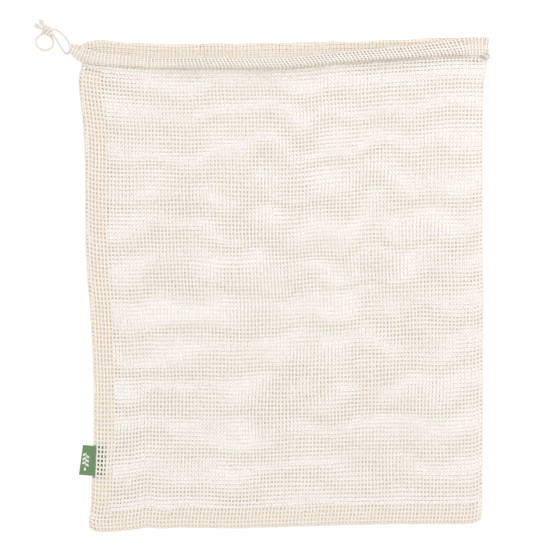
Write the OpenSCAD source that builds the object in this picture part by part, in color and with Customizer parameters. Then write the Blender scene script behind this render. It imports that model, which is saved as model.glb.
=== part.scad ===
// Mesh produce bag with a drawstring, lying empty on its back panel.
// Origin: underside of the back panel, at its middle. +X to the folded side,
// +Y to the mouth, +Z up. All sizes in millimetres.

/* [Cloth] */
// Thickness of the knitted net
cloth_t = 0.9; // [0.7:0.1:1.0]
// Height of the gap between the two panels at their joined edges
seam_h = 1.8; // [1.7:0.1:2.2]
// Height of the same gap at the mouth, beside the channels
rim_h = 4; // [3.8:0.1:4.4]
// Height of the front panel's underside over most of the bag
puff_h = 9; // [8.6:0.2:11]
// Extra height of the front panel at the mouth
mouth_h = 2; // [1.8:0.2:3]
// Distance in which the front panel curves up from an edge
crown_w = 45; // [30:1:60]

/* [Seams] */
// Width of the overlocked seam line
seam_w = 2; // [1.5:0.1:2.5]
// Width of the folded-in cloth at the side seam
side_allowance_w = 17; // [12:1:20]
// Width of the folded-in cloth at the bottom seam
bottom_allowance_w = 19; // [12:1:20]
// Thickness of the folded-in cloth
allowance_t = 1.5; // [1.2:0.1:1.6]

/* [Drawstring channel] */
// Thickness of the flattened channel
hem_t = 3.4; // [3.3:0.1:3.5]
// Wall of the channel
hem_wall = 0.6; // [0.4:0.1:0.7]
// Diameter of the stitching thread
thread_d = 0.6; // [0.4:0.1:0.8]

/* [Drawstring] */
// Diameter of the cotton cord
cord_d = 1.9; // [1.5:0.1:2.0]
// Outer radius of the hanging ring
ring_r = 7.6; // [6:0.2:7.8]
// Length of the stopper knot
knot_l = 10; // [8:0.5:11]
// Width of the stopper knot
knot_w = 7; // [6:0.5:8]

/* [Label] */
// Width of the label tape, along the seam
label_w = 24.5; // [18:0.5:26]
// How far the label stands out of the seam, at its longer end
label_out = 8; // [7:0.5:10]
// How much shorter it is at its other end
label_skew = 1.5; // [0:0.5:2]
// Thickness of the folded tape
label_t = 0.9; // [0.6:0.1:1]

/* [Hidden] */

CLOTH = "Linen";
THREAD = "OldLace";
CORD = "FloralWhite";
TAPE = "DarkSeaGreen";

// Outlines of the lying bag: [y, x] down its sides, [x, y] along its bottom.
LEFT = [[-199.5, -160], [-196, -161], [-190, -160.4], [-178, -158.6], [-158, -158], [-130, -156.6],
    [-80, -156.4], [-45, -158], [-15, -160], [5, -162], [40, -163.4], [100, -163.6], [120, -164.5],
    [135, -165.6], [151, -167.6], [165, -169], [170, -168.9], [178, -168]];
RIGHT = [[-193, 161], [-186, 162], [-90, 162.8], [0, 163], [60, 162.4], [120, 162.4], [170, 163.3],
    [188, 163.8]];
BOTTOM = [[-160, -199.5], [-157, -202.6], [-152, -203.5], [-140, -202.8], [-124, -201.4],
    [-113, -199.4], [-100, -200.4], [-88, -199.6], [-40, -200.2], [0, -199], [40, -197.8],
    [95, -196.6], [150, -196.8], [157, -196], [161, -193]];

// Channels along the mouth: [x, y of the middle, width, thickness]. The front one is flat at
// its ends and rolled up rounder in between.
BACK_HEM = [[-166, 188.5, 18, hem_t], [-150, 190.6, 20, hem_t], [-120, 188, 19.4, hem_t],
    [-90, 187, 19.6, hem_t], [0, 188.2, 20, hem_t], [60, 189.2, 20.2, hem_t],
    [111, 190.8, 20.2, hem_t], [150, 192.4, 20.6, hem_t], [164, 192.4, 20.6, hem_t]];
FRONT_HEM = [[-166, 187.5, 12, hem_t], [-150, 183, 10, 4.6], [-110, 179.5, 8.4, 6.4],
    [0, 179.5, 8.4, 6.4], [45, 184, 8.6, 6.2], [78, 187, 9.6, 5.6], [111, 189.5, 10.8, 5],
    [144, 193.4, 14.6, 4], [164, 194.4, 16.4, hem_t]];

function left_x(y) = lookup(y, LEFT);
function right_x(y) = lookup(y, RIGHT);
function bottom_y(x) = lookup(x, BOTTOM);
function hem_middle(hem, x) = lookup(x, [for (s = hem) [s[0], s[1]]]);
function hem_width(hem, x) = lookup(x, [for (s = hem) [s[0], s[2]]]);
function hem_foot(hem, x) = hem_middle(hem, x) - hem_width(hem, x) / 2;

// Underside of the front panel: flat over the seams, then a quarter ellipse up to its crown.
function gap_h(y) = lookup(y, [[120, seam_h], [170, rim_h]]);
function rise(away) = sqrt(1 - pow(1 - min(1, max(0, away - seam_w) / crown_w), 2));
function front_z(x, y) =
    let (rim_z = cloth_t + gap_h(y), crown_z = puff_h + mouth_h * max(0, y / 180))
    rim_z + rise(min(x - left_x(y), right_x(y) - x)) * rise(y - bottom_y(x)) * (crown_z - rim_z);
// Middle height of the front channel: its underside is always as far below the panel's edge.
function hem_z(x, t) = front_z(x, hem_foot(FRONT_HEM, x)) + (t - hem_t + cloth_t) / 2;

// Rows of points as one closed skin. Each row is a ring of equal length.
function ring_faces(rows, per) = [for (j = [0:rows - 2]) for (i = [0:per - 1])
    let (a = j * per + i, b = j * per + (i + 1) % per)
    each [[a, b, b + per], [a, b + per, a + per]]];
function tube_dir(path, j) =
    let (d = path[min(j + 1, len(path) - 1)] - path[max(j - 1, 0)]) d / norm(d);

// A round cord along a path, with flat ends.
CORD_SIDES = 8;
module cord(path, d = cord_d) {
    rows = len(path);
    points = [for (j = [0:rows - 1])
        let (ahead = tube_dir(path, j),
             side = cross(ahead, [0, 0, 1]) / norm(cross(ahead, [0, 0, 1])),
             up = cross(side, ahead))
        for (i = [0:CORD_SIDES - 1]) let (a = i * 360 / CORD_SIDES)
            path[j] + d / 2 * (cos(a) * side + sin(a) * up)];
    far = (rows - 1) * CORD_SIDES;
    caps = [[for (i = [0:CORD_SIDES - 1]) i], [for (i = [CORD_SIDES - 1:-1:0]) far + i]];
    polyhedron(points, concat([for (f = ring_faces(rows, CORD_SIDES)) [f[2], f[1], f[0]]], caps));
}

// A solid band through slices of four points each.
module band(slices) {
    far = 4 * (len(slices) - 1);
    caps = [[2, 1, 0], [3, 2, 0], [far, far + 1, far + 2], [far, far + 2, far + 3]];
    polyhedron([for (s = slices) each s], concat(ring_faces(len(slices), 4), caps));
}

// One slice of a flattened channel in the YZ plane, with chamfered corners and flat sides.
function slice(x, y, z, w, t) = [for (c = [[0.5, 0.25], [0.42, 0.5], [-0.42, 0.5], [-0.5, 0.25],
    [-0.5, -0.25], [-0.42, -0.5], [0.42, -0.5], [0.5, -0.25]]) [x, y + c[0] * w, z + c[1] * t]];

// A hollow channel through [x, y, z, width, thickness] stations, open at both ends.
module channel(stations) {
    n = len(stations);
    per = 8;
    outer = [for (s = stations) each slice(s[0], s[1], s[2], s[3], s[4])];
    inner = [for (s = stations)
        each slice(s[0], s[1], s[2], s[3] - 2 * hem_wall, s[4] - 2 * hem_wall)];
    skin = ring_faces(n, per);
    lining = [for (f = skin) [f[2] + n * per, f[1] + n * per, f[0] + n * per]];
    ends = [for (i = [0:per - 1]) let (k = (i + 1) % per, far = (n - 1) * per, in = n * per)
        each [[in + i, k, i], [in + i, in + k, k],
              [far + i, far + k, in + far + i], [in + far + i, far + k, in + far + k]]];
    polyhedron(concat(outer, inner), concat(skin, lining, ends));
}

back_stations = [for (s = BACK_HEM) [s[0], s[1], s[3] / 2, s[2], s[3]]];
front_stations = [for (s = FRONT_HEM) [s[0], s[1], hem_z(s[0], s[3]), s[2], s[3]]];

module back_panel() {
    xs = [for (s = BACK_HEM) s[0]];
    color(CLOTH) linear_extrude(cloth_t) polygon(concat(
        [for (s = LEFT) if (s[0] < 178) [s[1], s[0]]],
        [for (x = xs) [x, hem_foot(BACK_HEM, x)]],
        [for (i = [len(RIGHT) - 2:-1:0]) [RIGHT[i][1], RIGHT[i][0]]],
        [for (i = [len(BOTTOM) - 2:-1:1]) BOTTOM[i]]));
}

// The front panel is one crowned skin over a grid: top points first, then the underside's.
PANEL_COLUMNS = 30;
PANEL_ROWS = 26;
function column_share(i) = (1 - cos(180 * i / PANEL_COLUMNS)) / 2;
function row_share(j) = let (t = j / PANEL_ROWS) (t + 1 - cos(90 * t)) / 2;
function panel_point(i, j, lift) =
    let (u = column_share(i),
         v = row_share(j),
         x0 = left_x(-200 + 378 * v) * (1 - u) + right_x(-200 + 378 * v) * u,
         y = bottom_y(x0) * (1 - v) + hem_foot(FRONT_HEM, x0) * v,
         x = left_x(y) * (1 - u) + right_x(y) * u)
    [x, y, front_z(x, y) + lift];
module front_panel() {
    across = PANEL_COLUMNS + 1;
    count = across * (PANEL_ROWS + 1);
    grid = [for (lift = [cloth_t, 0]) for (j = [0:PANEL_ROWS]) for (i = [0:PANEL_COLUMNS])
        panel_point(i, j, lift)];
    top = [for (j = [0:PANEL_ROWS - 1]) for (i = [0:PANEL_COLUMNS - 1])
        let (a = j * across + i) each [[a, a + across, a + across + 1], [a, a + across + 1, a + 1]]];
    underside = [for (f = top) [f[2] + count, f[1] + count, f[0] + count]];
    border = concat(
        [for (i = [0:PANEL_COLUMNS]) i],
        [for (j = [1:PANEL_ROWS]) j * across + PANEL_COLUMNS],
        [for (i = [PANEL_COLUMNS - 1:-1:0]) PANEL_ROWS * across + i],
        [for (j = [PANEL_ROWS - 1:-1:1]) j * across]);
    n = len(border);
    edge = [for (k = [0:n - 1]) let (a = border[k], b = border[(k + 1) % n])
        each [[a, b, b + count], [a, b + count, a + count]]];
    color(CLOTH) polyhedron(grid, concat(top, underside, edge));
}

// The rim between the panels along one side, as thick as the gap it fills.
module side_rim(edge, inward, y0, y1) {
    ys = concat([y0], [for (p = edge) if (p[0] > y0 && p[0] < y1) p[0]], [y1]);
    band([for (y = ys) let (x = lookup(y, edge), in = x + inward * seam_w, top = cloth_t + gap_h(y))
        [[x, y, cloth_t], [in, y, cloth_t], [in, y, top], [x, y, top]]]);
}

// A strip between the panels along one side, from one distance to another inside its edge.
module side_strip(edge, from, to, y0, y1, thick) {
    ys = concat([y0], [for (p = edge) if (p[0] > y0 && p[0] < y1) p[0]], [y1]);
    linear_extrude(thick) polygon(concat(
        [for (y = ys) [lookup(y, edge) + from, y]],
        [for (i = [len(ys) - 1:-1:0]) [lookup(ys[i], edge) + to, ys[i]]]));
}
module bottom_strip(from, to, x0, x1, thick) {
    xs = concat([x0], [for (p = BOTTOM) if (p[0] > x0 && p[0] < x1) p[0]], [x1]);
    linear_extrude(thick) polygon(concat(
        [for (x = xs) [x, bottom_y(x) + from]],
        [for (i = [len(xs) - 1:-1:0]) [xs[i], bottom_y(xs[i]) + to]]));
}

TOP_OF_SEAM = 176;
FOOT_OF_SEAM = -198;
module right_fold() {
    color(CLOTH) mirror([1, 0, 0]) side_rim([for (p = RIGHT) [p[0], -p[1]]], 1, -190, 178);
}
module side_seam_thread() {
    color(THREAD) side_rim(LEFT, 1, FOOT_OF_SEAM, TOP_OF_SEAM);
}
module bottom_seam_thread() {
    color(THREAD) translate([0, 0, cloth_t]) bottom_strip(0, seam_w, -158, 158, seam_h);
}
module side_seam_allowance() {
    color(CLOTH) translate([0, 0, cloth_t])
        side_strip(LEFT, seam_w, side_allowance_w, -178, TOP_OF_SEAM, allowance_t);
}
module bottom_seam_allowance() {
    color(CLOTH) translate([0, 0, cloth_t])
        bottom_strip(seam_w, bottom_allowance_w, -156, 157, allowance_t);
}

module back_hem_channel() {
    color(CLOTH) channel(back_stations);
}
module front_hem_channel() {
    color(CLOTH) channel(front_stations);
}

// The channel carries on round the folded side as half a flat ring.
fold_x = 164;
fold_r = (hem_z(fold_x, hem_t) + hem_t / 2) / 2;
module hem_fold() {
    color(CLOTH) translate([fold_x, 202, fold_r]) rotate([90, 0, 0]) linear_extrude(15)
        intersection() {
            difference() {
                circle(fold_r);
                circle(fold_r - hem_wall);
            }
            translate([0, -fold_r]) square([fold_r, 2 * fold_r]);
        }
}

// Narrow sleeve at the side seam where both ends of the drawstring come out.
OUTLET = [[-166.2, 188.8, 3.7, 16, 7], [-168.5, 189.9, 3.7, 13.2, 7], [-171.5, 191.3, 3.6, 10.6, 6.8],
    [-174.5, 192.6, 3.5, 8.4, 6.6]];
module cord_outlet() {
    color(CLOTH) channel(OUTLET);
}

// Thread of each hem's stitching, lying on the cloth beside the channel.
stitch_off = 1.2;
function stitch_line(hem) = [for (s = hem) [s[0], hem_foot(hem, s[0]) - stitch_off]];
module back_hem_stitching() {
    color(THREAD) cord([for (p = stitch_line(BACK_HEM)) [p[0], p[1], cloth_t + thread_d / 2]], thread_d);
}
module front_hem_stitching() {
    color(THREAD) cord([for (p = stitch_line(FRONT_HEM))
        [p[0], p[1], front_z(p[0], p[1]) + cloth_t + thread_d / 2]], thread_d);
}

// Route of the cord inside the channels, from the outlet round the fold and back.
RUN = [[-175, 194.2, 4.2], [-171, 192, 4.7], [-166, 188, 5.35], [-150, 183, 10.2],
    [-110, 180, 11.6], [0, 180.5, 11.6], [45, 182.2, 11.6], [78, 184.6, 11.6],
    [111, 187.6, 11.6], [144, 192.4, 10.4], [164, 194.4, 5.35], [165.3, 193.8, 4.8],
    [165.9, 192.8, 3.6], [165.3, 192.2, 2.3], [164, 192, 1.7], [150, 191.6, 1.7], [60, 188.4, 1.7],
    [-60, 187.6, 1.7], [-143, 189.5, 1.7], [-166, 188.5, 1.7], [-169, 189, 1.9],
    [-175, 190.8, 2.6]];
// Routes of the two legs outside, from the outlet to the stopper knot.
UPPER_LEG = [[-175, 194.2, 4.2], [-176.2, 197, 3.9], [-178, 200.2, 3.2], [-180.4, 203.2, 2.4],
    [-183.4, 205.9, 2], [-186.4, 207.8, 2.2], [-189, 208.6, 3]];
LOWER_LEG = [[-175, 190.8, 2.6], [-177, 189.3, 1.9], [-179, 188.8, 1.3], [-181.1, 191, 1.1],
    [-184, 195.5, 1.1], [-186.6, 200, 1.3], [-188.6, 203.4, 2.6], [-189.4, 204.8, 3.4]];
// Routes of the two cut ends, from the knot outward.
TAIL_LONG = [[-197, 208.8, 3], [-199, 209.8, 2.1], [-201.4, 210.8, 1.3], [-203.8, 211.8, 1.1]];
TAIL_SHORT = [[-195.6, 210.4, 3.4], [-196.8, 212.2, 2.4], [-198.2, 214.2, 1.5], [-199.4, 216, 1.1]];

module drawstring_run() {
    color(CORD) cord(RUN);
}
module drawstring_upper_leg() {
    color(CORD) cord(UPPER_LEG);
}
module drawstring_lower_leg() {
    color(CORD) cord(LOWER_LEG);
}
module frayed_tails() {
    color(CORD) {
        cord(TAIL_LONG);
        cord(TAIL_SHORT);
    }
}

KNOT = [-193.4, 207.2];
module stopper_knot() {
    lump = knot_w / 2;
    color(CORD) translate([KNOT[0], KNOT[1], lump]) rotate([0, 0, 12]) hull()
        for (s = [-1, 1]) translate([s * (knot_l / 2 - lump), 0, 0]) sphere(lump, $fn = 24);
}

// The ring hangs from the knot. It is open beside the knot, where the cord goes in.
RING = [-197, 198.2];
ring_line_r = ring_r - cord_d / 2;
ring_top = 76;
ring_gap = 38;
module hanging_ring() {
    turns = 24;
    start = ring_top + ring_gap;
    color(CORD) cord([for (k = [0:turns]) let (a = start + k * (360 - 2 * ring_gap) / turns)
        [RING[0] + ring_line_r * cos(a), RING[1] + ring_line_r * sin(a), cord_d / 2]]);
}

// The label flap lies outside the seam and swings about the line where it is sewn in.
LABEL_Y = -132.3;
LABEL_X = -158.3;
LABEL_Z = cloth_t + (seam_h - label_t) / 2;
label_tilt = -4;
module label_place() {
    translate([LABEL_X, LABEL_Y, LABEL_Z]) rotate([0, 0, label_tilt]) children();
}
module label_flap() {
    color(TAPE) label_place() linear_extrude(label_t) polygon([[0, 0], [label_skew - label_out, 0],
        [-label_out, -label_w], [0, -label_w]]);
}
module label_root() {
    depth = 5;
    color(TAPE) translate([-153.8, LABEL_Y - label_w, cloth_t + allowance_t + 0.1])
        cube([depth, label_w, label_t]);
}
module label_leaf() {
    leaf_r = 7;
    leaf_off = 5;
    leaf_t = 0.15;
    color("white") label_place() translate([(label_skew / 2 - label_out) / 2, -label_w / 2, label_t])
        linear_extrude(leaf_t) intersection() {
            translate([leaf_off, 0]) circle(leaf_r);
            translate([-leaf_off, 0]) circle(leaf_r);
        }
}

back_panel();
front_panel();
right_fold();
side_seam_thread();
bottom_seam_thread();
side_seam_allowance();
bottom_seam_allowance();
back_hem_channel();
front_hem_channel();
hem_fold();
cord_outlet();
back_hem_stitching();
front_hem_stitching();
drawstring_run();
drawstring_upper_leg();
drawstring_lower_leg();
stopper_knot();
frayed_tails();
hanging_ring();
label_flap();
label_root();
label_leaf();
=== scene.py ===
"""The looks of a mesh produce bag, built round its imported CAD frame.

Lengths are worked out in millimetres and turned into metres when a mesh is made.
X runs to the folded side, Y to the mouth, Z up to the camera.
"""

import math

import bpy
import numpy as np
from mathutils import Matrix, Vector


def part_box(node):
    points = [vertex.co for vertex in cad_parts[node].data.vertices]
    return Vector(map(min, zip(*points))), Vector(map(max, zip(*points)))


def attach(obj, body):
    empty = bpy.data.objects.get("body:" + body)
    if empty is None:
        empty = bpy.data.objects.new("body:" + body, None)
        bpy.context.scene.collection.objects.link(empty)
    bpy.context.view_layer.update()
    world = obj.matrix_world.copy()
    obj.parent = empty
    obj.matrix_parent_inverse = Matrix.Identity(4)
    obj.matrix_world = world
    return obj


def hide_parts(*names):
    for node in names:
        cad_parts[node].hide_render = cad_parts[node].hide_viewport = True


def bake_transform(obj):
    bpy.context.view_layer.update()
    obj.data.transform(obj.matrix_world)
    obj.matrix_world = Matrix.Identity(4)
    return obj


MM = 0.001
TAU = 2 * math.pi

VIEW_WIDTH = 453.5  # millimetres across the picture, at the table
VIEW_CENTRE = (-6.6, 6.2)
LENS = 110
SENSOR = 36
CAMERA_UP = VIEW_WIDTH * LENS / SENSOR

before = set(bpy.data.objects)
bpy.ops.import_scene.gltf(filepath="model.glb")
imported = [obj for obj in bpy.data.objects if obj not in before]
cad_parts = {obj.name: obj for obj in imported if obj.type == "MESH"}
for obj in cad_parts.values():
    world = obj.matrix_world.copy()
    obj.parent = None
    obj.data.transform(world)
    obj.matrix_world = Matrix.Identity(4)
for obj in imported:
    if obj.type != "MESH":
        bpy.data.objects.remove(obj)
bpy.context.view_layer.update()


# ---------------------------------------------------------------- small tools


def node_points(node):
    """A CAD node's corners, in millimetres."""
    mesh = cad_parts[node].data
    co = np.zeros(len(mesh.vertices) * 3)
    mesh.vertices.foreach_get("co", co)
    return co.reshape(-1, 3) / MM


def node_box(node):
    """A CAD node's lowest and highest corner, in millimetres."""
    low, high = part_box(node)
    return np.array(low) / MM, np.array(high) / MM


def smoothstep(t):
    """From 0 to 1 as t goes from 0 to 1, level at both ends."""
    t = np.clip(t, 0, 1)
    return t * t * (3 - 2 * t)


def with_middles(places):
    """The places, with one more half way between each two."""
    return np.interp(np.arange(2 * len(places) - 1) / 2, np.arange(len(places)), places)


def smooth_curve(at, value, blur):
    """A smooth function through value over at, rounded over blur millimetres."""
    order = np.argsort(at)
    grid = np.arange(at.min(), at.max() + 1.0, 1.0)
    line = np.interp(grid, np.asarray(at)[order], np.asarray(value)[order])
    reach = 3 * blur
    kernel = np.exp(-0.5 * (np.arange(-reach, reach + 1) / blur) ** 2)
    padded = np.pad(line, reach, mode="reflect", reflect_type="odd")
    rounded = np.convolve(padded, kernel / kernel.sum(), "valid")
    return lambda q: np.interp(q, grid, rounded)


def wave_field(seed, length_x, length_y, waves=12):
    """A smooth random field over (x, y) with a spread of about 1 and bumps of those lengths."""
    rng = np.random.default_rng(seed)
    kx = rng.normal(size=waves) / length_x
    ky = rng.normal(size=waves) / length_y
    phase = rng.uniform(0, TAU, waves)

    def field(x, y):
        total = 0
        for i in range(waves):
            total = total + np.sin(TAU * (kx[i] * x + ky[i] * y) + phase[i])
        return total / math.sqrt(waves / 2)

    return field


def mesh_object(name, points, faces, material):
    """A smooth-shaded mesh from points in millimetres and a list of (n, k) face arrays."""
    mesh = bpy.data.meshes.new(name)
    corners = np.concatenate([f.ravel() for f in faces]).astype(np.int32)
    sizes = np.concatenate([np.full(len(f), f.shape[1]) for f in faces])
    starts = np.concatenate([[0], np.cumsum(sizes)[:-1]]).astype(np.int32)
    mesh.vertices.add(len(points))
    mesh.vertices.foreach_set("co", (np.asarray(points) * MM).astype(np.float32).ravel())
    mesh.loops.add(len(corners))
    mesh.loops.foreach_set("vertex_index", corners)
    mesh.polygons.add(len(starts))
    mesh.polygons.foreach_set("loop_start", starts)
    mesh.update(calc_edges=True)
    mesh.polygons.foreach_set("use_smooth", np.ones(len(starts), bool))
    mesh.materials.append(material)
    obj = bpy.data.objects.new(name, mesh)
    bpy.context.scene.collection.objects.link(obj)
    return obj


def unit(v):
    """Vectors of length 1 along v's last axis."""
    return v / np.maximum(np.linalg.norm(v, axis=-1, keepdims=True), 1e-12)


def tubes(paths, side_r, up_r, up=(0, 0, 1), sides=6, closed=False):
    """Points and faces of tubes along paths, an array of (tubes, rings, 3) places. side_r and up_r
    are the radii across up and along it, for each ring. Closed tubes join their last ring to their
    first."""
    count, rings, _ = paths.shape
    if closed:
        ahead = np.roll(paths, -1, axis=1) - np.roll(paths, 1, axis=1)
    else:
        ahead = np.gradient(paths, axis=1)
    ahead = unit(ahead)
    side = unit(np.cross(ahead, np.broadcast_to(up, paths.shape)))
    over = np.cross(side, ahead)
    side_r = np.broadcast_to(side_r, (count, rings))[..., None, None]
    up_r = np.broadcast_to(up_r, (count, rings))[..., None, None]
    angle = (np.arange(sides) + 0.5) * TAU / sides
    ring = (
        np.cos(angle)[:, None] * side[:, :, None, :] * side_r
        + np.sin(angle)[:, None] * over[:, :, None, :] * up_r
    )
    points = (paths[:, :, None, :] + ring).reshape(-1, 3)
    index = np.arange(count * rings * sides).reshape(count, rings, sides)
    first = index if closed else index[:, :-1]
    then = np.roll(index, -1, axis=1) if closed else index[:, 1:]
    quads = np.stack(
        [first, np.roll(first, -1, axis=2), np.roll(then, -1, axis=2), then], axis=-1
    ).reshape(-1, 4)
    faces = [quads]
    if not closed:
        faces += [index[:, 0, ::-1], index[:, -1, :]]
    return points, faces


def joined(parts):
    """One set of points and faces from several."""
    points, faces, start = [], [], 0
    for p, fs in parts:
        points.append(p)
        faces += [f + start for f in fs]
        start += len(p)
    return np.concatenate(points), faces


# ------------------------------------------------------------------ materials

FLECK = (0.95, 0.92, 0.87)
FIBRE_DEPTH = 0.00012  # metres
RIB_DEPTH = 0.0001


def shader(name, roughness, sheen, specular=0.25):
    """A new material and its nodes, with the values that are the same all over it."""
    material = bpy.data.materials.new(name)
    material.use_nodes = True
    nodes, links = material.node_tree.nodes, material.node_tree.links
    bsdf = nodes["Principled BSDF"]
    bsdf.inputs["Roughness"].default_value = roughness
    bsdf.inputs["Specular IOR Level"].default_value = specular
    bsdf.inputs["Sheen Weight"].default_value = sheen
    bsdf.inputs["Sheen Roughness"].default_value = 0.6
    return material, nodes, links, bsdf


def noise(nodes, links, space, scale, detail):
    """A noise texture over object space, with scale in bumps per metre."""
    texture = nodes.new("ShaderNodeTexNoise")
    texture.inputs["Scale"].default_value = scale
    texture.inputs["Detail"].default_value = detail
    links.new(space.outputs["Object"], texture.inputs["Vector"])
    return texture.outputs["Fac"]


def ramp(nodes, links, factor, low, high, start, end):
    """A colour that goes from low to high as factor goes from start to end."""
    node = nodes.new("ShaderNodeValToRGB")
    node.color_ramp.elements[0].position = start
    node.color_ramp.elements[1].position = end
    node.color_ramp.elements[0].color = (*low, 1)
    node.color_ramp.elements[1].color = (*high, 1)
    links.new(factor, node.inputs["Fac"])
    return node.outputs["Color"]


def bump(nodes, links, bsdf, height, distance):
    """Surface relief from height, distance metres deep."""
    node = nodes.new("ShaderNodeBump")
    node.inputs["Distance"].default_value = distance
    node.inputs["Strength"].default_value = 1.0
    links.new(height, node.inputs["Height"])
    links.new(node.outputs["Normal"], bsdf.inputs["Normal"])


def cotton(name, light, dark):
    """Unbleached cotton yarn: slow changes of cream, small flecks of darker fibre, a fibrous surface."""
    material, nodes, links, bsdf = shader(name, roughness=0.92, sheen=0.0, specular=0.1)
    space = nodes.new("ShaderNodeTexCoord")
    slow = noise(nodes, links, space, scale=420, detail=3)
    tone = ramp(nodes, links, slow, dark, light, start=0.32, end=0.62)
    small = noise(nodes, links, space, scale=2600, detail=2)
    fleck = ramp(nodes, links, small, FLECK, (1, 1, 1), start=0.3, end=0.42)
    mix = nodes.new("ShaderNodeMix")
    mix.data_type = "RGBA"
    mix.blend_type = "MULTIPLY"
    mix.inputs["Factor"].default_value = 0.6
    links.new(tone, mix.inputs["A"])
    links.new(fleck, mix.inputs["B"])
    links.new(mix.outputs["Result"], bsdf.inputs["Base Color"])
    fibres = noise(nodes, links, space, scale=5200, detail=3)
    bump(nodes, links, bsdf, fibres, distance=FIBRE_DEPTH)
    return material


def woven_tape(name, light, dark):
    """Satin label tape: fine ribs of warp and weft, darker in between."""
    material, nodes, links, bsdf = shader(name, roughness=0.6, sheen=0.25, specular=0.4)
    space = nodes.new("ShaderNodeTexCoord")
    heights = []
    for direction, scale in (("X", 420), ("Y", 260)):
        wave = nodes.new("ShaderNodeTexWave")
        wave.bands_direction = direction
        wave.inputs["Scale"].default_value = scale
        wave.inputs["Distortion"].default_value = 0.6
        links.new(space.outputs["Object"], wave.inputs["Vector"])
        heights.append(wave.outputs["Fac"])
    weave = nodes.new("ShaderNodeMath")
    weave.operation = "MULTIPLY"
    links.new(heights[0], weave.inputs[0])
    links.new(heights[1], weave.inputs[1])
    colour = ramp(nodes, links, weave.outputs["Value"], dark, light, start=0.05, end=0.6)
    links.new(colour, bsdf.inputs["Base Color"])
    bump(nodes, links, bsdf, weave.outputs["Value"], distance=RIB_DEPTH)
    return material


# Each layer of cotton has its own tone, for the light that comes to it through the others: lit and
# shaded copies of one yarn, with painted light and painted shade.
NET = cotton("cotton_net_yarn", light=(0.94, 0.89, 0.835), dark=(0.93, 0.86, 0.775))
# Painted light: the back panel's yarn is lighter, to offset the shade it lies in under the front panel.
BACK_NET_PAINTED_LIGHT = cotton("cotton_net_yarn_behind_painted_light", light=(0.97, 0.925, 0.86), dark=(0.96, 0.895, 0.815))
# Painted shade: the folded-in cloth is tan, warmer and deeper than the front's yarn, for the warm shade
# between the layers.
INNER_NET_PAINTED_WARM_SHADE = cotton("folded_in_net_yarn_painted_warm_shade", light=(0.95, 0.835, 0.685), dark=(0.94, 0.78, 0.595))
# Painted shade: the front channel's turned-in layer is darker, so that the holes in the channel's front
# look shaded.
CHANNEL_NET_PAINTED_SHADE = cotton("net_yarn_in_channel_painted_shade", light=(0.85, 0.745, 0.63), dark=(0.81, 0.695, 0.57))
# Painted light: the back channel's turned-in layer is peach, for the warm light that bounces between its
# layers.
BACK_CHANNEL_NET_PAINTED_WARM_LIGHT = cotton("net_yarn_behind_mouth_painted_warm_light", light=(0.97, 0.885, 0.77), dark=(0.965, 0.845, 0.69))
CORD = cotton("cotton_cord_yarn", light=(0.85, 0.80, 0.75), dark=(0.82, 0.755, 0.69))
THREAD = cotton("sewing_thread_yarn", light=(0.92, 0.88, 0.82), dark=(0.86, 0.80, 0.72))
TAPE = woven_tape("green_label_tape", light=(0.20, 0.335, 0.16), dark=(0.12, 0.22, 0.085))
MOTIF = woven_tape("white_label_motif", light=(0.93, 0.94, 0.92), dark=(0.80, 0.83, 0.79))


# ------------------------------------------------------- outlines of the frame

OUTLINE_BLUR = 3
EDGE_IN = 0.7  # from the outline to the middle of the outermost yarn
UNDERSIDE = 0.1  # corners below this height are on the panel's underside
CORNER = (-160.0, -199.5)  # the rounded corner between the side seam and the bottom seam
LEFT_BAND, RIGHT_BAND, LOW_BAND = -155.0, 160.5, -192.5  # the edges' corners lie outside these
CHANNEL_Y = 172  # the fold's outline counts up to here
panel = np.unique(np.round(node_points("back_panel"), 2), axis=0)
panel = panel[panel[:, 2] < UNDERSIDE]
left_points = panel[(panel[:, 0] < LEFT_BAND) & (panel[:, 1] >= CORNER[1])]
right_points = panel[(panel[:, 0] > RIGHT_BAND) & (panel[:, 1] < CHANNEL_Y)]
low_points = panel[(panel[:, 0] >= CORNER[0]) & (panel[:, 1] < LOW_BAND)]
left_x = smooth_curve(left_points[:, 1], left_points[:, 0] + EDGE_IN, OUTLINE_BLUR)
right_x = smooth_curve(right_points[:, 1], right_points[:, 0] - EDGE_IN, OUTLINE_BLUR)
bottom_y = smooth_curve(low_points[:, 0], low_points[:, 1] + EDGE_IN, OUTLINE_BLUR)


def stations(node):
    """A channel's slices: [x, middle y, middle z, width, thickness], from left to right."""
    same_slice = 0.02
    points = node_points(node)
    rows = []
    for x in np.unique(np.round(points[:, 0], 2)):
        at = points[np.abs(points[:, 0] - x) < same_slice]
        low, high = at.min(0), at.max(0)
        rows.append([x, *(low + high)[1:] / 2, *(high - low)[1:]])
    return np.array(rows)


front_hem = stations("front_hem_channel")
back_hem = stations("back_hem_channel")
outlet = stations("cord_outlet")
FOOT_BLUR = 9
# A channel's foot is its lower edge, where the panel's net meets it.
front_foot_y = smooth_curve(front_hem[:, 0], front_hem[:, 1] - front_hem[:, 3] / 2, FOOT_BLUR)
back_foot_y = smooth_curve(back_hem[:, 0], back_hem[:, 1] - back_hem[:, 3] / 2, FOOT_BLUR)

# ------------------------------------------------------------------- the net

COLUMNS = 112
FRONT_ROWS = 107
BACK_ROWS = 119
CLOTH_T = 0.9
PILLAR_R = 0.87  # a pillar is a yarn up the bag, a weft a yarn across it
WEFT_R = 0.94
BACK_THICK = 1.07  # the back's yarn over the front's
FLAT = 0.45  # a strand's height over its width
PILLAR_WAIST = 0.16  # how much thinner a yarn is half way between its knots
WEFT_WAIST = 0.14
UNEVEN = 0.05  # spread of a yarn's thickness
PILLAR_LIFT = 0.12  # the pillars lie this much above the net's middle
WEFT_DROP = 0.05  # and the wefts this much below it
WEFT_WAVE = 0.1  # while they go over one pillar and under the next

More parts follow.
